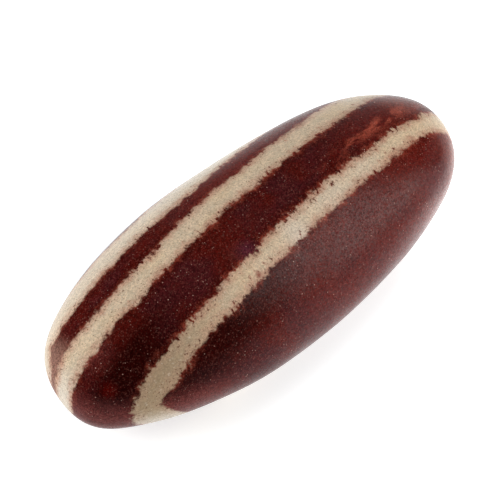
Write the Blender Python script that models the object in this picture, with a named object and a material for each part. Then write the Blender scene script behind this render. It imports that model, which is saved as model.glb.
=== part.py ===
"""River pebble: one water-worn, banded stone that lies on its long side.

Metres, +Z up. +X runs along the stone, +Y across it, and the origin is under the
middle of the stone, on the surface that it lies on.
"""

import math

import bmesh
import bpy
from mathutils import Vector

MM = 0.001

# Driving dimensions of the worn body.
LENGTH = 96.0 * MM
WIDTH = 40.1 * MM
HEIGHT = 35.2 * MM
END_FULLNESS = 2.38  # 2 is an ellipse from end to end; more makes the ends blunter
TAPER = 0.022  # how much slimmer the +X end is, and how much fuller the -X end

# The flat that the stone lies on is worn this far into its underside.
FOOT_DEPTH = 0.45 * MM

# Where the river wore the stone unevenly: a low swell where the rise is more than
# nothing, and a worn flat where it is less. Station is along the stone from its
# middle, bearing is round the stone in degrees from +Y by way of +Z, and reach is how
# far off the rise has fallen to a third. All but the bearing are in millimetres.
#         station  bearing  reach   rise
SWELLS = (
    (-46.0, -137.0, 6.0, 0.45),
    (-47.0, -45.0, 6.0, -0.10),
    (-44.0, 5.0, 6.0, 0.20),
    (-38.0, -155.0, 9.0, -0.75),
    (-36.0, 14.0, 9.0, -0.35),
    (-26.0, -160.0, 9.0, -0.60),
    (-23.0, 20.0, 9.0, -0.15),
    (-12.0, -162.0, 9.0, 0.20),
    (-9.0, 22.0, 9.0, 0.15),
    (3.0, -163.0, 10.0, 0.25),
    (5.0, 24.0, 9.0, -0.20),
    (18.0, -165.0, 10.0, -0.30),
    (18.0, 26.0, 9.0, -0.25),
    (31.0, 30.0, 9.0, 0.10),
    (33.0, -168.0, 9.0, -0.45),
    (42.0, 45.0, 7.0, -0.25),
    (46.5, 130.0, 5.0, -0.15),
)

CUBE_QUADS = 26  # along each edge of the cube that is drawn out into the stone

STONE_COLOUR = (0.09, 0.022, 0.018, 1.0)
STONE_ROUGHNESS = 0.42


def clear_scene():
    """Remove whatever the scene holds."""
    for old in list(bpy.data.objects):
        bpy.data.objects.remove(old, do_unlink=True)


def round_cube():
    """A unit ball made from a cube, so that its quads are of even size."""
    mesh = bmesh.new()
    bmesh.ops.create_cube(mesh, size=2.0)
    bmesh.ops.subdivide_edges(
        mesh, edges=mesh.edges[:], cuts=CUBE_QUADS - 1, use_grid_fill=True
    )
    for vert in mesh.verts:
        spread = [math.tan(value * math.pi / 4) for value in vert.co]
        vert.co = Vector(spread).normalized()
    return mesh


def worn_body(direction):
    """The point of the smooth worn body that lies in this direction of the ball."""
    across = math.hypot(direction.y, direction.z)
    fullness = abs(direction.x) ** END_FULLNESS + across**END_FULLNESS
    point = direction * fullness ** (-1 / END_FULLNESS)
    slim = 1 - TAPER * point.x
    return Vector(
        (
            point.x * LENGTH / 2,
            point.y * slim * WIDTH / 2,
            point.z * slim * HEIGHT / 2,
        )
    )


def outward(point):
    """The direction that faces out of the smooth worn body at a point of it."""
    along = point.x / (LENGTH / 2)
    return Vector(
        (
            math.copysign(abs(along) ** (END_FULLNESS - 1), along) / (LENGTH / 2),
            point.y / (WIDTH / 2) ** 2,
            point.z / (HEIGHT / 2) ** 2,
        )
    ).normalized()


def place_on_body(station, bearing):
    """The point of the smooth worn body at a station and a bearing."""
    along = station / (LENGTH / 2)
    across = (1 - abs(along) ** END_FULLNESS) ** (1 / END_FULLNESS)
    return worn_body(
        Vector((along, across * math.cos(bearing), across * math.sin(bearing)))
    )


def wear_unevenly(mesh):
    """Raise the swells and sink the worn flats on the smooth worn body."""
    places = [
        (place_on_body(station * MM, math.radians(bearing)), reach * MM, rise * MM)
        for station, bearing, reach, rise in SWELLS
    ]
    for vert in mesh.verts:
        height = sum(
            rise * math.exp(-((vert.co - centre).length_squared) / reach**2)
            for centre, reach, rise in places
        )
        vert.co += outward(vert.co) * height


def wear_foot(mesh):
    """Wear the underside to a flat, and stand the stone on it over the origin."""
    foot = min(vert.co.z for vert in mesh.verts) + FOOT_DEPTH
    for vert in mesh.verts:
        vert.co.z = max(vert.co.z, foot)
    along = [vert.co.x for vert in mesh.verts]
    across = [vert.co.y for vert in mesh.verts]
    under = Vector(
        ((min(along) + max(along)) / 2, (min(across) + max(across)) / 2, foot)
    )
    bmesh.ops.translate(mesh, vec=-under, verts=mesh.verts[:])


def build_pebble():
    """The pebble's mesh: one closed, worn body with a flat to lie on."""
    mesh = round_cube()
    for vert in mesh.verts:
        vert.co = worn_body(vert.co)
    wear_unevenly(mesh)
    wear_foot(mesh)
    bmesh.ops.recalc_face_normals(mesh, faces=mesh.faces[:])
    data = bpy.data.meshes.new("pebble")
    mesh.to_mesh(data)
    mesh.free()
    data.shade_smooth()
    return data


def stone_material():
    """Dark red-brown sandstone, worn to a satin finish."""
    material = bpy.data.materials.new("stone")
    material.use_nodes = True
    shader = material.node_tree.nodes["Principled BSDF"]
    shader.inputs["Base Color"].default_value = STONE_COLOUR
    shader.inputs["Roughness"].default_value = STONE_ROUGHNESS
    shader.inputs["Metallic"].default_value = 0.0
    return material


def main():
    """Build the stone in an empty scene."""
    clear_scene()
    pebble = bpy.data.objects.new("pebble", build_pebble())
    bpy.context.scene.collection.objects.link(pebble)
    pebble.data.materials.append(stone_material())


main()
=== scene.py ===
import math
import bmesh
import bpy
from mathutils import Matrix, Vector

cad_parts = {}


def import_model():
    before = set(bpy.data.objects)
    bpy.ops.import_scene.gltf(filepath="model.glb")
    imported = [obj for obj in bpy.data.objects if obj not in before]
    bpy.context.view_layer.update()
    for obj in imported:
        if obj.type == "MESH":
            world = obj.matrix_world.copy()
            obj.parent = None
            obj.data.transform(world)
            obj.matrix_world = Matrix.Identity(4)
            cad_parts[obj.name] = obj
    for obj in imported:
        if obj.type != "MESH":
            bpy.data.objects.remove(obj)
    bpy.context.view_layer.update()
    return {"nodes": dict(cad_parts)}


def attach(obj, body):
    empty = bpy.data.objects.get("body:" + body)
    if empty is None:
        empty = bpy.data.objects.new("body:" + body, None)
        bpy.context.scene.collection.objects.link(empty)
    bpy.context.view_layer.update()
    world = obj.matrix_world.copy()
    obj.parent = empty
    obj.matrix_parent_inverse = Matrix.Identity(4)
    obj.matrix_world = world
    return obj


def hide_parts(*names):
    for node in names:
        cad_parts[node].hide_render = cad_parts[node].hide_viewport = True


# River pebble: one banded stone, worn smooth. Lengths in the dictionaries are in
# millimetres and angles in degrees, unless a note says otherwise.
mm = 0.001

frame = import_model()
stone = frame["nodes"]["pebble"]

# small helpers for node trees


def addNode(tree, kind, **settings):
    node = tree.nodes.new(kind)
    for name, value in settings.items():
        setattr(node, name, value)
    return node


def plug(tree, value, socket):
    # a socket is linked, anything else is set as the value
    if isinstance(value, bpy.types.NodeSocket):
        tree.links.new(value, socket)
    else:
        socket.default_value = value


def calc(tree, operation, *values):
    node = addNode(tree, "ShaderNodeMath", operation=operation)
    for value, socket in zip(values, node.inputs):
        plug(tree, value, socket)
    return node.outputs[0]


def times(tree, product, *values):
    for value in values:
        product = calc(tree, "MULTIPLY", product, value)
    return product


def allBut(tree, value, share):
    # one, less a share of the value
    return calc(tree, "MULTIPLY_ADD", value, -share, 1.0)


def howFar(tree, value, middle):
    return calc(tree, "ABSOLUTE", calc(tree, "SUBTRACT", value, middle))


def vectorCalc(tree, operation, first, second):
    node = addNode(tree, "ShaderNodeVectorMath", operation=operation)
    plug(tree, first, node.inputs[0])
    plug(tree, second, node.inputs[1])
    givesNumber = operation in ("DOT_PRODUCT", "DISTANCE")
    return node.outputs["Value" if givesNumber else "Vector"]


def scaled(tree, vector, factor):
    node = addNode(tree, "ShaderNodeVectorMath", operation="SCALE")
    plug(tree, vector, node.inputs[0])
    plug(tree, factor, node.inputs["Scale"])
    return node.outputs["Vector"]


def ramp(tree, value, low, high, outLow=0.0, outHigh=1.0):
    node = addNode(tree, "ShaderNodeMapRange", interpolation_type="SMOOTHSTEP")
    for name, number in zip(
        ("Value", "From Min", "From Max", "To Min", "To Max"),
        (value, low, high, outLow, outHigh),
    ):
        plug(tree, number, node.inputs[name])
    return node.outputs["Result"]


def noise(tree, place, size, detail=2.0, roughness=0.5):
    # size is the width of one lump, in the units of place
    node = addNode(tree, "ShaderNodeTexNoise")
    plug(tree, place, node.inputs["Vector"])
    node.inputs["Scale"].default_value = 1 / size
    node.inputs["Detail"].default_value = detail
    node.inputs["Roughness"].default_value = roughness
    return node.outputs["Fac"]


def cloud(tree, place, texture, levels):
    # noise of that texture as a share, which changes between two of its levels
    return ramp(tree, noise(tree, place, *texture), *levels)


def grains(tree, place, size):
    # three random values for each grain, and how far off its middle a point is
    node = addNode(tree, "ShaderNodeTexVoronoi", feature="F1")
    plug(tree, place, node.inputs["Vector"])
    node.inputs["Scale"].default_value = 1 / size
    parts = addNode(tree, "ShaderNodeSeparateColor")
    tree.links.new(node.outputs["Color"], parts.inputs["Color"])
    return {
        "shade": parts.outputs["Red"],
        "hue": parts.outputs["Green"],
        "shine": parts.outputs["Blue"],
        "off": node.outputs["Distance"],
    }


def mix(tree, share, first, second):
    node = addNode(tree, "ShaderNodeMix", data_type="RGBA")
    plug(tree, share, node.inputs["Factor"])
    plug(tree, first, node.inputs[6])
    plug(tree, second, node.inputs[7])
    return node.outputs[2]


def direction(bearing, elevation):
    # out from the stone; every bearing is round from +X
    turn, lift = math.radians(bearing), math.radians(elevation)
    level = math.cos(lift)
    return Vector((math.cos(turn) * level, math.sin(turn) * level, math.sin(lift)))


# the camera, from the stone's near side and well above it

camera = {
    "bearing": -132.0,
    "elevation": 55.0,
    "distance": 399.5,
    "lens": 150.0,
    "clipStart": 10.0,
    "lookAtHeight": 17.4,
    "lookAtRight": -1.46,  # how far off the stone's middle, as the camera sees it
    "lookAtUp": 0.87,
}


def makeCamera():
    back = direction(camera["bearing"], camera["elevation"])
    right = direction(camera["bearing"] + 90, 0)
    up = back.cross(right)
    aim = Vector((0.0, 0.0, camera["lookAtHeight"]))
    aim += right * camera["lookAtRight"] + up * camera["lookAtUp"]
    data = bpy.data.cameras.new("camera")
    data.lens = camera["lens"]
    data.clip_start = camera["clipStart"] * mm
    seer = bpy.data.objects.new("camera", data)
    seer.location = (aim + back * camera["distance"]) * mm
    seer.rotation_mode = "QUATERNION"
    seer.rotation_quaternion = (-back).to_track_quat("-Z", "Y")
    bpy.context.scene.collection.objects.link(seer)
    bpy.context.scene.camera = seer


makeCamera()
print("camera is in place")

# where the beds lie on the stone

banding = {
    "turn": 6.5,  # how far the beds run aslant of the stone's length
    "edgeBlur": 0.38,
    "curveReach": 50.0,  # how far the edges' curves run, either way
    # how widely the edges are shifted, and the noise that does it: the size of one
    # lump, and then the detail and the roughness where they aren't the usual ones
    "wobble": (1.8, (16.0, 1.0)),  # only where the beds pass under the stone
    "scallop": (1.6, (1.9,)),
    "fray": (1.0, (0.7, 2.0, 0.6)),
    # thin dark spurs that stand on the maroon beds: how far they reach, their size
    # along the beds, across them and up, and the clouds that they grow in
    "spur": 1.7,
    "spurSize": (0.75, 1.7, 1.7),
    "spurCloud": ((1.0,), (0.52, 0.80)),
    "spurPatches": ((3.4,), (0.44, 0.64)),
    # the last bed thins out under its -X end: a point on that edge, and its slope
    "endStation": -35.6,
    "endHeight": 18.6,
    "endSlope": 35.0,
}

# Where each edge lies, square to the beds from the stone's middle, at stations along
# the stone. The beds alternate from the far side: maroon, cream, maroon and so on.
bedEdges = {
    "farSeam": ((-50, -18.6), (-20, -18.3), (0, -18.5), (25, -18.2), (50, -18.8)),
    "thinBedFar": (
        (-50, -8.0),
        (-47, -9.6),
        (-44.5, -11.9),
        (-42, -12.1),
        (-38, -12.2),
        (-32, -12.4),
        (-26, -12.3),
        (-20, -12.6),
        (-16, -12.2),
        (-8, -12.0),
        (2, -12.5),
        (8, -12.6),
        (14, -13.1),
        (50, -12.7),
    ),
    "thinBedNear": (
        (-50, -7.8),
        (-47, -7.9),
        (-44.5, -8.2),
        (-41, -8.0),
        (-38, -7.7),
        (-31, -7.5),
        (-26, -7.7),
        (-22, -7.4),
        (-17, -8.1),
        (-8, -8.4),
        (-5, -8.7),
        (1, -8.1),
        (8, -8.2),
        (12, -8.4),
        (16, -8.1),
        (22, -8.2),
        (50, -8.9),
    ),
    "broadBedFar": (
        (-50, -2.4),
        (-47.3, -3.0),
        (-43.7, -3.3),
        (-41, -2.8),
        (-34, -3.0),
        (-30, -2.4),
        (-26, -2.8),
        (-22, -2.8),
        (-17, -2.9),
        (-14, -2.7),
        (-11, -2.9),
        (-8, -2.8),
        (-5, -3.2),
        (-2, -2.9),
        (8, -2.9),
        (22, -2.4),
        (31, -2.3),
        (37, -2.6),
        (50, -2.5),
    ),
    "broadBedNear": (
        (-50, 6.2),
        (-40, 7.0),
        (-35, 6.5),
        (-29, 7.0),
        (-26, 6.8),
        (-20, 7.1),
        (-17, 6.6),
        (-11, 6.3),
        (-8, 6.7),
        (-5, 6.1),
        (0, 6.0),
        (9, 6.1),
        (16, 6.1),
        (19, 6.4),
        (22, 6.3),
        (26, 6.7),
        (31, 6.05),
        (37, 6.6),
        (40, 6.7),
        (44, 6.2),
        (50, 6.2),
    ),
    "lastBed": (
        (-50, 9.6),
        (-36, 10.1),
        (-32, 10.4),
        (-26, 10.3),
        (-20, 10.3),
        (-17, 10.8),
        (-13, 10.4),
        (-8, 10.7),
        (-5, 10.2),
        (-2, 10.5),
        (6, 10.4),
        (13, 10.7),
        (20, 10.6),
        (25, 10.95),
        (28, 10.6),
        (31, 10.6),
        (34, 10.35),
        (37, 10.4),
        (40, 10.6),
        (43, 11.25),
        (50, 11.3),
    ),
}

# Each fade is the way it runs, where it starts and ends, and its shares there where
# they aren't 0 and 1.
edgeFades = {
    "below": ("height", 22.0, 12.0),
    "ragged": ("across", -9.0, 6.0, 1.05, 1.5),  # the far edges are more even
    "lastBed": ("across", 8.0, 10.5, 1.0, 0.75),  # and so is the last one
    "spursAlong": ("station", -36.0, -16.0, 0.4, 1.0),
}


def stonePlaces(tree):
    # where a point is, in millimetres: its station and height on the stone, and how
    # far along and across the beds it lies
    coordinates = addNode(tree, "ShaderNodeTexCoord")
    place = scaled(tree, coordinates.outputs["Object"], 1 / mm)
    parts = addNode(tree, "ShaderNodeSeparateXYZ")
    tree.links.new(place, parts.inputs["Vector"])
    turn = math.radians(banding["turn"])
    alongBeds = (math.cos(turn), math.sin(turn), 0)
    acrossBeds = (math.sin(turn), -math.cos(turn), 0)
    return {
        "place": place,
        "station": parts.outputs["X"],
        "height": parts.outputs["Z"],
        "along": vectorCalc(tree, "DOT_PRODUCT", place, alongBeds),
        "across": vectorCalc(tree, "DOT_PRODUCT", place, acrossBeds),
    }


def fades(tree, at, wanted):
    # the share of each fade at a point, by name
    return {
        name: ramp(tree, at[way], *numbers)
        for name, (way, *numbers) in wanted.items()
    }


def bedEdge(tree, station, points):
    # the edge's place, in millimetres, from a curve over the stone's length
    reach = banding["curveReach"]
    curveNode = addNode(tree, "ShaderNodeFloatCurve")
    curve = curveNode.mapping.curves[0]
    places = [
        ((x + reach) / (2 * reach), (offset + reach) / (2 * reach))
        for x, offset in points
    ]
    curve.points[0].location = places[0]
    curve.points[1].location = places[-1]
    for place in places[1:-1]:
        curve.points.new(*place)
    curveNode.mapping.update()
    along = calc(tree, "MULTIPLY_ADD", station, 1 / (2 * reach), 0.5)
    plug(tree, along, curveNode.inputs["Value"])
    return calc(tree, "MULTIPLY_ADD", curveNode.outputs[0], 2 * reach, -reach)


def bedDepths(tree, at, across):
    # how deep in maroon stone a point is; below nothing it is in cream
    edges = {
        name: bedEdge(tree, at["station"], points) for name, points in bedEdges.items()
    }

    def past(name):
        return calc(tree, "SUBTRACT", across, edges[name])

    def before(name):
        return calc(tree, "SUBTRACT", edges[name], across)

    slope = math.radians(banding["endSlope"])
    run = calc(tree, "SUBTRACT", at["station"], banding["endStation"])
    rise = calc(tree, "SUBTRACT", at["height"], banding["endHeight"])
    rise = times(tree, rise, math.sin(slope))
    lastEnd = calc(tree, "MULTIPLY_ADD", run, math.cos(slope), rise)
    depth = before("farSeam")
    for bed in (
        calc(tree, "MINIMUM", past("thinBedFar"), before("thinBedNear")),
        calc(tree, "MINIMUM", past("broadBedFar"), before("broadBedNear")),
        calc(tree, "MINIMUM", past("lastBed"), lastEnd),
    ):
        depth = calc(tree, "MAXIMUM", depth, bed)
    return depth


def stretched(tree, at, sizes):
    # a place for noise that is longer one way than another
    node = addNode(tree, "ShaderNodeCombineXYZ")
    for way, size, socket in zip(("along", "across", "height"), sizes, node.inputs):
        plug(tree, calc(tree, "DIVIDE", at[way], size), socket)
    return node.outputs["Vector"]


def shifted(tree, place, name):
    # noise about a half, turned into a shift either way
    spread, texture = banding[name]
    lumps = noise(tree, place, *texture)
    return calc(tree, "MULTIPLY_ADD", lumps, spread, -spread / 2)


def raggedDepth(tree, at):
    # the beds' depth once their edges wander, fray and throw out spurs
    place = at["place"]
    part = fades(tree, at, edgeFades)
    wander = times(tree, shifted(tree, place, "wobble"), part["below"])
    ragged = times(tree, part["ragged"], part["lastBed"])
    scallop = shifted(tree, place, "scallop")
    frayed = calc(tree, "ADD", scallop, shifted(tree, place, "fray"))
    shift = calc(tree, "ADD", wander, times(tree, frayed, ragged))
    depth = bedDepths(tree, at, calc(tree, "ADD", at["across"], shift))
    row = stretched(tree, at, banding["spurSize"])
    spur = cloud(tree, row, *banding["spurCloud"])
    patch = cloud(tree, place, *banding["spurPatches"])
    patch = times(tree, patch, ragged, part["spursAlong"])
    return calc(tree, "ADD", depth, times(tree, spur, patch, banding["spur"]))


# the maroon beds: body, brick and plum lie under the rest

maroon = {
    "body": (0.080, 0.0058, 0.0038, 1),
    "brick": (0.135, 0.0125, 0.0080, 1),
    "plum": (0.058, 0.0075, 0.0088, 1),
    "violet": (0.080, 0.0150, 0.0270, 1),
    "nearEdge": (0.050, 0.0026, 0.0014, 1),
    # umber: painted shade at the -X end, and the dark strip beside the last bed's edge
    "umber": (0.016, 0.0008, 0.0006, 1),
    # mauve: painted haze, where the stone turns under at the -X end and in two patches
    "mauve": (0.140, 0.0350, 0.0320, 1),
    "worn": (0.300, 0.1600, 0.1200, 1),
    "ember": (0.150, 0.0030, 0.0008, 1),
    "rust": (0.250, 0.0450, 0.0270, 1),
    "streak": (0.360, 0.0700, 0.0420, 1),
    # the red of some sand grains, and of the painted reflection in two patches near the
    # +X end
    "redGrainAndReflection": (0.320, 0.1050, 0.0800, 1),
    # the pale of the glints painted on a few grains
    "paintedGlint": (0.720, 0.4300, 0.3500, 1),
}

# Each cloud is its noise, and the two levels of that noise that its share changes
# between, with the shares there where they aren't 0 and 1.
maroonClouds = {
    "plum": ((8.0, 3.0), (0.36, 0.62)),
    "brick": ((2.2, 4.0, 0.7), (0.25, 0.60, 0.33, 0.49)),
    "streaks": ((1.0, 3.0), (0.42, 0.60)),
    "rust": ((2.6,), (0.38, 0.60, 0.05, 0.90)),
    "glints": ((4.5,), (0.40, 0.62, 0.40, 1.50)),
}

maroonFades = {
    "lastBed": ("across", 7.5, 9.0),
    "redAlong": ("station", -20.0, 6.0),
    "brickTip": ("station", 44.0, 32.0, 0.3, 1.0),
    "brickNear": ("across", 18.5, 12.5, 0.75, 1.2),
    "thinBed": ("across", -5.0, -7.0),
    "thinBedAlong": ("station", -26.0, 2.0, 0.0, 0.85),
    "farBeds": ("across", 9.0, 7.5),  # all but the last
    "farBedsAlong": ("station", 18.0, 32.0, 0.0, 0.6),
    "besideEdge": ("depth", 2.4, 0.4, 0.0, 0.85),  # depth is counted from the edge
    # darkEnd and darkAcross: where painted shade darkens the broad bed's -X end
    "darkEnd": ("station", -20.0, -36.0, 0.0, 0.96),
    "darkAcross": ("across", -2.5, 2.5),
    "darkLastBed": ("across", 18.0, 13.0, 0.0, 0.85),
    "turnedUnder": ("height", 23.5, 16.5),
    "underAlong": ("station", -16.0, -34.0),
    "streaksFrom": ("station", 10.0, 34.0),
    "streaksTo": ("station", 52.0, 34.0),
    "rustLine": ("depth", 1.3, 0.0),
    "rustAcross": ("across", -8.0, -4.0, 0.55, 1.0),
    "wornAcross": ("across", -6.0, -8.0, 0.0, 0.8),
    "wornAlong": ("station", -41.5, -45.5),
}

# Each patch is (middle), reach, share, colour: it fades out at its reach, and they are
# laid on in this order.
maroonPatches = {
    # the next two are painted haze: a paler mauve laid on as a reflection
    "paintedHazeEnd": ((-41.0, -2.2, 27.5), 4.8, 0.28, "mauve"),
    "haze": ((-10.2, -5.7, 33.9), 3.2, 0.30, "mauve"),
    "glow": ((-43.1, -7.6, 23.9), 2.6, 0.35, "ember"),
    "violet": ((-8.4, -6.6, 33.8), 3.2, 0.90, "violet"),
    # these two are painted reflections: a paler red laid on near the top edge of the +X
    # end and at its tip
    "ruddy": ((40.0, 3.5, 27.5), 7.5, 0.50, "redGrainAndReflection"),
    "tip": ((44.5, -8.0, 21.0), 9.0, 0.50, "redGrainAndReflection"),
}

# the red streaks run along the broad bed, this far across
streaks = {
    "across": 3.5,
    "reach": 2.2,
    "size": (3.6, 1.4, 2.8),  # along the beds, across them and up
}

# the share of one look that gives way where there is another
maroonSpared = {
    "edgeShadeInBrick": 0.9,
    "rustInDark": 0.5,
    "grainsInDark": 0.35,
}

# the range of the grains' shades, and the few that stand out: how few those are, as a
# power, and their greatest share
maroonGrains = {
    "shades": (0.62, 1.42),
    "red": (8, 0.31),
    "glinting": (40, 0.66),
    "glintEdge": (0.55, 0.15),  # a painted glint is brightest in the middle of its grain
}


def inPatch(tree, place, middle, reach, share):
    gap = vectorCalc(tree, "DISTANCE", place, middle)
    return ramp(tree, gap, reach, 0.0, 0.0, share)


def fewGrains(tree, random, sharpness, share):
    # most grains get next to nothing and a few get nearly the whole share
    return times(tree, calc(tree, "POWER", random, sharpness), share)


def maroonColour(tree, at):
    place, sand, specks = at["place"], at["sand"], at["specks"]
    part = fades(tree, at, maroonFades)
    plum = cloud(tree, place, *maroonClouds["plum"])
    tone = mix(tree, plum, maroon["plum"], maroon["body"])
    # the last bed is redder than the others from its middle on, in mottles, and the
    # thin bed and the +X end of the other beds are evenly so
    red = times(tree, part["lastBed"], part["redAlong"])
    mottle = cloud(tree, place, *maroonClouds["brick"])
    brick = times(tree, red, part["brickTip"], mottle, part["brickNear"])
    thin = times(tree, part["thinBed"], part["thinBedAlong"])
    farBeds = times(tree, part["farBedsAlong"], part["farBeds"])
    evenly = calc(tree, "MAXIMUM", thin, farBeds)
    tone = mix(tree, calc(tree, "MAXIMUM", brick, evenly), tone, maroon["brick"])
    # darker beside its edges
    evenly = calc(tree, "MAXIMUM", evenly, red)
    spare = allBut(tree, evenly, maroonSpared["edgeShadeInBrick"])
    deep = times(tree, part["besideEdge"], spare)
    tone = mix(tree, deep, tone, maroon["nearEdge"])
    # darkest towards the -X end, partly painted shade where that end turns from the
    # light and partly a dark strip beside the last bed's edge, but painted paler where
    # it turns under there, as a reflection of the floor
    lastEnd = calc(tree, "SUBTRACT", part["lastBed"], red)
    dark = calc(
        tree,
        "MAXIMUM",
        times(tree, part["darkEnd"], part["darkAcross"]),
        times(tree, lastEnd, part["darkLastBed"]),
    )
    dark = times(tree, dark, allBut(tree, part["turnedUnder"], 1.0))
    under = times(tree, part["turnedUnder"], part["underAlong"])
    # red streaks along the broad bed, towards the +X end
    off = howFar(tree, at["across"], streaks["across"])
    row = stretched(tree, at, streaks["size"])
    streak = times(
        tree,
        ramp(tree, off, streaks["reach"], 0.0),
        part["streaksFrom"],
        part["streaksTo"],
        cloud(tree, row, *maroonClouds["streaks"]),
    )
    tone = mix(tree, streak, tone, maroon["streak"])
    tone = mix(tree, dark, tone, maroon["umber"])
    # a rusty line at its edge
    rust = times(
        tree,
        part["rustLine"],
        part["rustAcross"],
        allBut(tree, dark, maroonSpared["rustInDark"]),
        cloud(tree, place, *maroonClouds["rust"]),
    )
    tone = mix(tree, rust, tone, maroon["rust"])
    # painted haze: paler mauve where the stone turns under, as a reflection of the floor
    tone = mix(tree, under, tone, maroon["mauve"])
    for *patch, colour in maroonPatches.values():
        tone = mix(tree, inPatch(tree, place, *patch), tone, maroon[colour])
    # the thin bed is worn away to a stain at the -X end
    stain = times(tree, part["wornAcross"], part["wornAlong"])
    tone = mix(tree, stain, tone, maroon["worn"])
    # sand grains: all differ, some are red, and a few are painted pale as glints
    shade = ramp(tree, sand["shade"], 0.0, 1.0, *maroonGrains["shades"])
    tone = scaled(tree, tone, shade)
    lit = allBut(tree, dark, maroonSpared["grainsInDark"])
    reddish = times(tree, fewGrains(tree, sand["hue"], *maroonGrains["red"]), lit)
    tone = mix(tree, reddish, tone, maroon["redGrainAndReflection"])
    glint = times(
        tree,
        fewGrains(tree, specks["shade"], *maroonGrains["glinting"]),
        lit,
        cloud(tree, place, *maroonClouds["glints"]),
        ramp(tree, specks["off"], *maroonGrains["glintEdge"]),
    )
    return mix(tree, glint, tone, maroon["paintedGlint"])


# the cream beds, with fades, clouds, patches and grains as above

cream = {
    "body": (0.785, 0.615, 0.440, 1),
    "warm": (0.780, 0.605, 0.410, 1),
    "grey": (0.700, 0.570, 0.410, 1),
    # stain: painted shade, darker where the bed beside the last one turns from the light
    # at the -X end
    "stain": (0.342, 0.248, 0.152, 1),
    # chalk is also the paler painted reflection on the far side
    "chalk": (0.830, 0.725, 0.600, 1),
    "blush": (0.560, 0.315, 0.220, 1),
    "tanGrain": (0.380, 0.260, 0.165, 1),
    "darkGrain": (0.150, 0.060, 0.036, 1),
    "quartz": (0.820, 0.730, 0.610, 1),
    # a paler tone, painted as a reflection at the -X tip and where the stone turns under
    "paintedReflection": (0.740, 0.660, 0.560, 1),
}

creamClouds = {
    "pale": ((2.2, 4.0, 0.65), (0.38, 0.60)),
    "warm": ((8.0,), (0.45, 0.65)),
    "blush": ((3.1,), (0.35, 0.60, 0.60, 1.00)),
}

creamFades = {
    "farSide": ("across", -10.5, -13.0, 0.0, 0.5),
    "nearSide": ("across", 5.0, 7.0),
    # where painted shade darkens the bed beside the last one
    "paintedShadeAcross": ("across", 4.0, 7.0),
    "paintedShadeAlong": ("station", -8.0, -36.0),
    # where a paler painted reflection lies, at the -X tip and where the stone turns
    # under
    "rim": ("station", -44.0, -48.0, 0.0, 0.8),
    "turnedUnder": ("height", 20.0, 13.0, 0.0, 0.75),
    "underAlong": ("station", -24.0, -32.0),
    "blushLine": ("depth", -2.0, 0.0),
    "fleckLevel": ("depth", -2.0, 0.0, 0.66, 0.57),  # flecks crowd the edges
}

creamPatches = {
    "paler": ((1.4, -9.0, 32.9), 4.5, 0.75),
    "rustySpot": ((-9.6, -10.9, 31.8), 0.9, 0.80),
}

# the middle of the cream bed beside the last one is paler
paleMiddle = {
    "station": 14.0,
    "fade": (15.0, 3.0, 0.0, 0.4),
}

creamShares = {
    # the share of the painted shade
    "stain": 0.90,
    "blushSpared": 0.7,  # how much of the blush the painted shade hides
}

creamGrains = {
    "shades": (0.83, 1.12),
    "tan": (7, 0.65),
    "clear": (20, 0.30),
    "fleck": (0.5, 2.0, 0.6),  # the noise of the flecks, and how soft their edges are
    "fleckEdge": (0.0, 0.07, 0.0, 0.8),
}


def creamColour(tree, at):
    place, sand, specks = at["place"], at["sand"], at["specks"]
    part = fades(tree, at, creamFades)
    pale = cloud(tree, place, *creamClouds["pale"])
    tone = mix(tree, pale, cream["grey"], cream["body"])
    warm = cloud(tree, place, *creamClouds["warm"])
    tone = mix(tree, warm, tone, cream["warm"])
    # paler on the far side, a painted reflection, and in the middle of the bed beside
    # the last one
    off = howFar(tree, at["station"], paleMiddle["station"])
    middle = times(tree, ramp(tree, off, *paleMiddle["fade"]), part["nearSide"])
    paler = calc(tree, "MAXIMUM", part["farSide"], middle)
    tone = mix(tree, paler, tone, cream["chalk"])
    # painted shade darkens the bed beside the last one towards the -X end
    paintedShade = times(tree, part["paintedShadeAlong"], part["paintedShadeAcross"])
    stain = times(tree, paintedShade, creamShares["stain"])
    tone = mix(tree, stain, tone, cream["stain"])
    # and painted paler at the -X tip and where it turns under there, as a reflection
    under = times(tree, part["turnedUnder"], part["underAlong"])
    tone = mix(tree, calc(tree, "MAXIMUM", part["rim"], under), tone, cream["paintedReflection"])
    # blushed beside the maroon, but less under the painted shade and in one paler patch
    spare = allBut(tree, paintedShade, creamShares["blushSpared"])
    blushed = times(tree, cloud(tree, place, *creamClouds["blush"]), spare)
    tone = mix(tree, times(tree, part["blushLine"], blushed), tone, cream["blush"])
    tone = mix(tree, inPatch(tree, place, *creamPatches["paler"]), tone, cream["chalk"])
    # sand grains: all differ, some are tan or clear, and brown flecks crowd the edges
    shade = ramp(tree, sand["shade"], 0.0, 1.0, *creamGrains["shades"])
    tone = scaled(tree, tone, shade)
    tan = fewGrains(tree, sand["hue"], *creamGrains["tan"])
    tone = mix(tree, tan, tone, cream["tanGrain"])
    clear = fewGrains(tree, specks["shade"], *creamGrains["clear"])
    tone = mix(tree, clear, tone, cream["quartz"])
    fleck = noise(tree, place, *creamGrains["fleck"])
    fleck = calc(tree, "SUBTRACT", fleck, part["fleckLevel"])
    fleck = ramp(tree, fleck, *creamGrains["fleckEdge"])
    tone = mix(tree, fleck, tone, cream["darkGrain"])
    spot = inPatch(tree, place, *creamPatches["rustySpot"])
    return mix(tree, spot, tone, maroon["rust"])


# the surface of the whole stone

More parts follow.
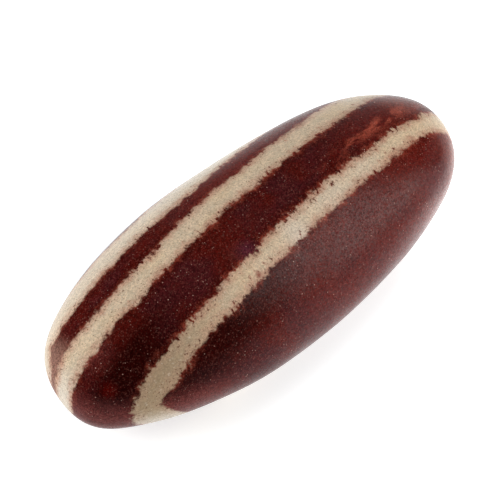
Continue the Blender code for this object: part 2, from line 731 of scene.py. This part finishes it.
glossFades = {
    "along": ("station", -32.0, 4.0, 0.16, 1.0),  # dullest at the -X end
    "tip": ("station", 31.0, 37.0, 1.0, 0.72),
    "thinBed": ("across", -9.0, -4.0, 0.5, 1.0),
    "farSide": ("across", -12.5, -15.0, 0.0, 1.5),  # glossiest past the thin bed
    "stripFrom": ("across", 8.0, 10.5),  # a dull strip along the last bed
    "stripTo": ("across", 16.5, 12.5),
    "stripStarts": ("station", 12.0, 33.0),
    "stripEnds": ("station", 40.0, 35.0),
}

gloss = {
    "level": 0.125,
    "grains": (0.45, 1.55),  # the dullest grain and the glossiest
    "stripLoss": 0.75,
}

finish = {
    "sandSize": 0.22,
    "speckSize": 0.28,
    "roughness": ((3.0, 4.0, 0.6), (0.30, 0.70, 0.20, 0.30)),  # a cloud, as above
    "ior": 1.5,
    "dust": 0.06,  # a thin bloom that shows where the surface is seen aslant
    "dustSpread": 0.20,
    "bump": 0.03,
    "bumpNoise": (0.35, 3.0, 0.6),
}


def stoneGloss(tree, at):
    # duller at both ends, on the thin bed and in a strip along the last one
    part = fades(tree, at, glossFades)
    beds = calc(tree, "MAXIMUM", part["thinBed"], part["farSide"])
    strip = times(tree, part["stripFrom"], part["stripTo"])
    strip = times(tree, strip, part["stripStarts"], part["stripEnds"])
    strip = allBut(tree, strip, gloss["stripLoss"])
    uneven = ramp(tree, at["sand"]["shine"], 0.0, 1.0, *gloss["grains"])
    share = times(tree, part["along"], part["tip"], beds, strip, uneven)
    # the level comes last, because a plain factor there is all that an export keeps
    return times(tree, share, gloss["level"])


def stoneMaterial():
    material = bpy.data.materials.new("bandedStone")
    material.use_nodes = True
    tree = material.node_tree
    tree.nodes.clear()
    out = addNode(tree, "ShaderNodeOutputMaterial")
    shader = addNode(tree, "ShaderNodeBsdfPrincipled")
    tree.links.new(shader.outputs["BSDF"], out.inputs["Surface"])

    at = stonePlaces(tree)
    at["sand"] = grains(tree, at["place"], finish["sandSize"])
    at["specks"] = grains(tree, at["place"], finish["speckSize"])
    at["depth"] = raggedDepth(tree, at)
    inMaroon = ramp(tree, at["depth"], -banding["edgeBlur"], banding["edgeBlur"])
    colour = mix(tree, inMaroon, creamColour(tree, at), maroonColour(tree, at))
    plug(tree, colour, shader.inputs["Base Color"])

    rough = cloud(tree, at["place"], *finish["roughness"])
    plug(tree, rough, shader.inputs["Roughness"])
    shader.inputs["IOR"].default_value = finish["ior"]
    plug(tree, stoneGloss(tree, at), shader.inputs["Specular IOR Level"])
    shader.inputs["Sheen Weight"].default_value = finish["dust"]
    shader.inputs["Sheen Roughness"].default_value = finish["dustSpread"]

    bump = addNode(tree, "ShaderNodeBump")
    bump.inputs["Strength"].default_value = 1.0
    bump.inputs["Distance"].default_value = finish["bump"] * mm
    surface = noise(tree, at["place"], *finish["bumpNoise"])
    plug(tree, surface, bump.inputs["Height"])
    tree.links.new(bump.outputs["Normal"], shader.inputs["Normal"])
    return material


# the relief of its surface, down to shallow pits

relief = {
    "levels": 2,  # each one splits every face in four
    "swellSize": 15.0,
    "swellHeight": 0.16,
    "rippleSize": 4.0,
    "rippleHeight": 0.06,
    "pitSpacing": 4.2,
    "pitRadius": 0.5,
    "pitDepth": 0.06,
    "footHeight": 0.6,  # below this the stone is left as it lies
    "fullHeight": 2.4,  # and from here up it has its whole relief
    "seed": 7.0,
}

# one flat that is worn into the shoulder of the +X end
facet = {
    "facetMiddle": (38.6, -9.9, 25.1),
    "facetFacing": (0.40, -0.58, 0.71),
    "facetDepth": 0.20,
}

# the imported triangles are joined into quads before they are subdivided
joining = {
    "gap": 0.01,
    "faceAngle": 40.0,
    "shapeAngle": 50.0,
}


def reliefTree(material):
    # subdivides the merged stone and wears its surface a little unevenly
    tree = bpy.data.node_groups.new("stoneRelief", "GeometryNodeTree")
    sockets = tree.interface
    sockets.new_socket("Geometry", in_out="OUTPUT", socket_type="NodeSocketGeometry")
    sockets.new_socket("Geometry", in_out="INPUT", socket_type="NodeSocketGeometry")
    sockets.new_socket("levels", in_out="INPUT", socket_type="NodeSocketInt")
    for name, value in {**relief, **facet}.items():
        if name != "levels":
            kind = "Vector" if isinstance(value, tuple) else "Float"
            sockets.new_socket(name, in_out="INPUT", socket_type="NodeSocket" + kind)
    given = addNode(tree, "NodeGroupInput").outputs
    out = addNode(tree, "NodeGroupOutput")

    fine = addNode(tree, "GeometryNodeSubdivisionSurface")
    plug(tree, given["Geometry"], fine.inputs["Mesh"])
    plug(tree, given["levels"], fine.inputs["Level"])

    position = addNode(tree, "GeometryNodeInputPosition").outputs[0]
    shift = addNode(tree, "ShaderNodeCombineXYZ")
    plug(tree, given["seed"], shift.inputs["X"])
    inMillimetres = scaled(tree, position, 1 / mm)
    place = vectorCalc(tree, "ADD", inMillimetres, shift.outputs["Vector"])

    def lumps(size, height):
        node = addNode(tree, "ShaderNodeTexNoise")
        plug(tree, place, node.inputs["Vector"])
        plug(tree, calc(tree, "DIVIDE", 1.0, size), node.inputs["Scale"])
        level = calc(tree, "SUBTRACT", node.outputs["Fac"], 0.5)
        return times(tree, level, height)

    rise = calc(
        tree,
        "ADD",
        lumps(given["swellSize"], given["swellHeight"]),
        lumps(given["rippleSize"], given["rippleHeight"]),
    )
    pits = addNode(tree, "ShaderNodeTexVoronoi", feature="F1")
    plug(tree, place, pits.inputs["Vector"])
    plug(tree, calc(tree, "DIVIDE", 1.0, given["pitSpacing"]), pits.inputs["Scale"])
    pitReach = calc(tree, "DIVIDE", given["pitRadius"], given["pitSpacing"])
    inPit = ramp(tree, pits.outputs["Distance"], pitReach, 0.0)
    rise = calc(tree, "SUBTRACT", rise, times(tree, inPit, given["pitDepth"]))
    heightOf = addNode(tree, "ShaderNodeSeparateXYZ")
    plug(tree, position, heightOf.inputs["Vector"])
    worn = ramp(
        tree,
        heightOf.outputs["Z"],
        times(tree, given["footHeight"], mm),
        times(tree, given["fullHeight"], mm),
    )
    rise = times(tree, rise, worn, mm)
    normal = addNode(tree, "GeometryNodeInputNormal").outputs[0]
    move = addNode(tree, "GeometryNodeSetPosition")
    plug(tree, fine.outputs[0], move.inputs["Geometry"])
    plug(tree, scaled(tree, normal, rise), move.inputs["Offset"])

    # what stands above the facet's plane is pressed back to it
    off = vectorCalc(tree, "SUBTRACT", inMillimetres, given["facetMiddle"])
    above = vectorCalc(tree, "DOT_PRODUCT", off, given["facetFacing"])
    above = calc(tree, "MAXIMUM", calc(tree, "ADD", above, given["facetDepth"]), 0.0)
    flatten = addNode(tree, "GeometryNodeSetPosition")
    plug(tree, move.outputs[0], flatten.inputs["Geometry"])
    down = scaled(tree, given["facetFacing"], times(tree, above, -mm))
    plug(tree, down, flatten.inputs["Offset"])

    real = addNode(tree, "GeometryNodeRealizeInstances")
    plug(tree, flatten.outputs[0], real.inputs[0])
    painted = addNode(tree, "GeometryNodeSetMaterial")
    plug(tree, real.outputs[0], painted.inputs["Geometry"])
    painted.inputs["Material"].default_value = material
    plug(tree, painted.outputs[0], out.inputs["Geometry"])
    return tree


def mergedCopy(node):
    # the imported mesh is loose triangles: its corners are joined, then its quads
    mesh = bmesh.new()
    mesh.from_mesh(node.data)
    bmesh.ops.remove_doubles(mesh, verts=mesh.verts[:], dist=joining["gap"] * mm)
    bmesh.ops.join_triangles(
        mesh,
        faces=mesh.faces[:],
        angle_face_threshold=math.radians(joining["faceAngle"]),
        angle_shape_threshold=math.radians(joining["shapeAngle"]),
    )
    data = bpy.data.meshes.new("bandedStoneBase")
    mesh.to_mesh(data)
    mesh.free()
    data.materials.clear()
    return data


def makeStone():
    material = stoneMaterial()
    rough = bpy.data.objects.new("bandedStoneBase", mergedCopy(stone))
    bpy.context.scene.collection.objects.link(rough)
    wear = rough.modifiers.new("relief", "NODES")
    wear.node_group = reliefTree(material)
    wanted = {**relief, **facet}
    for item in wear.node_group.interface.items_tree:
        if item.in_out == "INPUT" and item.name in wanted:
            wear[item.identifier] = wanted[item.name]
    shown = rough.evaluated_get(bpy.context.evaluated_depsgraph_get())
    data = bpy.data.meshes.new_from_object(shown)
    bpy.data.objects.remove(rough)
    data.name = "bandedStone"
    data.shade_smooth()
    piece = bpy.data.objects.new("bandedStone", data)
    bpy.context.scene.collection.objects.link(piece)
    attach(piece, "root")
    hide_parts("pebble")
    print("stone has", len(data.polygons), "faces")
    return piece


makeStone()

studio = {
    "floorSize": 4000.0,
    "floorColour": (0.70, 0.72, 0.725, 1),
    "floorRoughness": 0.9,
    "floorGlow": (0.72, 0.97),  # painted light: the floor glows, brighter towards one side
    "glowBearing": -30.0,
    "glowReach": 60.0,
    "hotSpot": (58.0, -24.0, 0.0),  # and a painted pool of light, brightest right before the +X end
    "hotReach": 36.0,
    "hotGlow": 2.0,
    "hotColour": (1.0, 0.88, 0.86, 1),
    "glowColour": (0.94, 0.97, 0.985, 1),
    "contactReach": 13.0,
    "contactRays": 16,
    "contactShade": (0.40, 0.75, 0.71, 1.0),  # a painted contact shadow: less open right beside the stone, so less glow
    "worldColour": (1.0, 1.0, 1.0, 1),
    "worldStrength": 0.04,
    "boxesAimHeight": 15.0,
}

# width and height are a box's own, and light is its radiance
softBoxes = {
    "sidePanel": {
        "bearing": -49,
        "elevation": 28,
        "distance": 1000,
        "width": 660,
        "height": 950,
        "light": 4.4,
        "colour": (1.0, 0.965, 0.925),
    },
    "keyBox": {
        "bearing": 142,
        "elevation": 31,
        "distance": 800,
        "width": 520,
        "height": 600,
        "light": 5.4,
        "colour": (1.0, 1.0, 1.0),
    },
    "backScreen": {
        "bearing": 48,
        "elevation": 14,
        "distance": 1000,
        "width": 1100,
        "height": 450,
        "light": 0.38,
        "colour": (1.0, 1.0, 1.0),
    },
}


def makeFloor():
    half = studio["floorSize"] / 2 * mm
    data = bpy.data.meshes.new("floor")
    corners = [(-half, -half, 0), (half, -half, 0), (half, half, 0), (-half, half, 0)]
    data.from_pydata(corners, [], [(0, 1, 2, 3)])
    floor = bpy.data.objects.new("floor", data)
    bpy.context.scene.collection.objects.link(floor)
    material = bpy.data.materials.new("paleFloor")
    material.use_nodes = True
    shader = material.node_tree.nodes["Principled BSDF"]
    shader.inputs["Base Color"].default_value = studio["floorColour"]
    shader.inputs["Roughness"].default_value = studio["floorRoughness"]
    shader.inputs["Specular IOR Level"].default_value = 0.0
    tree = material.node_tree
    place = addNode(tree, "ShaderNodeTexCoord").outputs["Object"]
    side = vectorCalc(tree, "DOT_PRODUCT", place, direction(studio["glowBearing"], 0))
    reach = studio["glowReach"] * mm
    glow = ramp(tree, side, -reach, reach, *studio["floorGlow"])
    gap = vectorCalc(tree, "DISTANCE", place, Vector(studio["hotSpot"]) * mm)
    hot = ramp(tree, gap, studio["hotReach"] * mm, 0.0)
    glow = calc(tree, "MULTIPLY_ADD", hot, studio["hotGlow"], glow)
    hue = mix(tree, hot, studio["glowColour"], studio["hotColour"])
    plug(tree, hue, shader.inputs["Emission Color"])
    nearby = addNode(
        tree, "ShaderNodeAmbientOcclusion", samples=studio["contactRays"]
    )
    nearby.inputs["Distance"].default_value = studio["contactReach"] * mm
    share = ramp(tree, nearby.outputs["AO"], *studio["contactShade"])
    plug(tree, times(tree, glow, share), shader.inputs["Emission Strength"])
    data.materials.append(material)


def makeSoftBoxes():
    middle = Vector((0.0, 0.0, studio["boxesAimHeight"] * mm))
    for name, box in softBoxes.items():
        away = direction(box["bearing"], box["elevation"])
        data = bpy.data.lights.new(name, "AREA")
        data.shape = "RECTANGLE"
        data.size = box["width"] * mm
        data.size_y = box["height"] * mm
        data.color = box["colour"]
        data.energy = box["light"] * math.pi * data.size * data.size_y
        lamp = bpy.data.objects.new(name, data)
        lamp.location = middle + away * box["distance"] * mm
        lamp.rotation_mode = "QUATERNION"
        lamp.rotation_quaternion = (-away).to_track_quat("-Z", "Y")
        lamp.visible_camera = False
        bpy.context.scene.collection.objects.link(lamp)


def makeWorld():
    world = bpy.data.worlds.new("studio")
    world.use_nodes = True
    bpy.context.scene.world = world
    background = world.node_tree.nodes["Background"]
    background.inputs["Color"].default_value = studio["worldColour"]
    background.inputs["Strength"].default_value = studio["worldStrength"]


makeFloor()
makeSoftBoxes()
makeWorld()
bpy.context.scene.view_settings.view_transform = "Standard"
print("floor and soft boxes are in place")
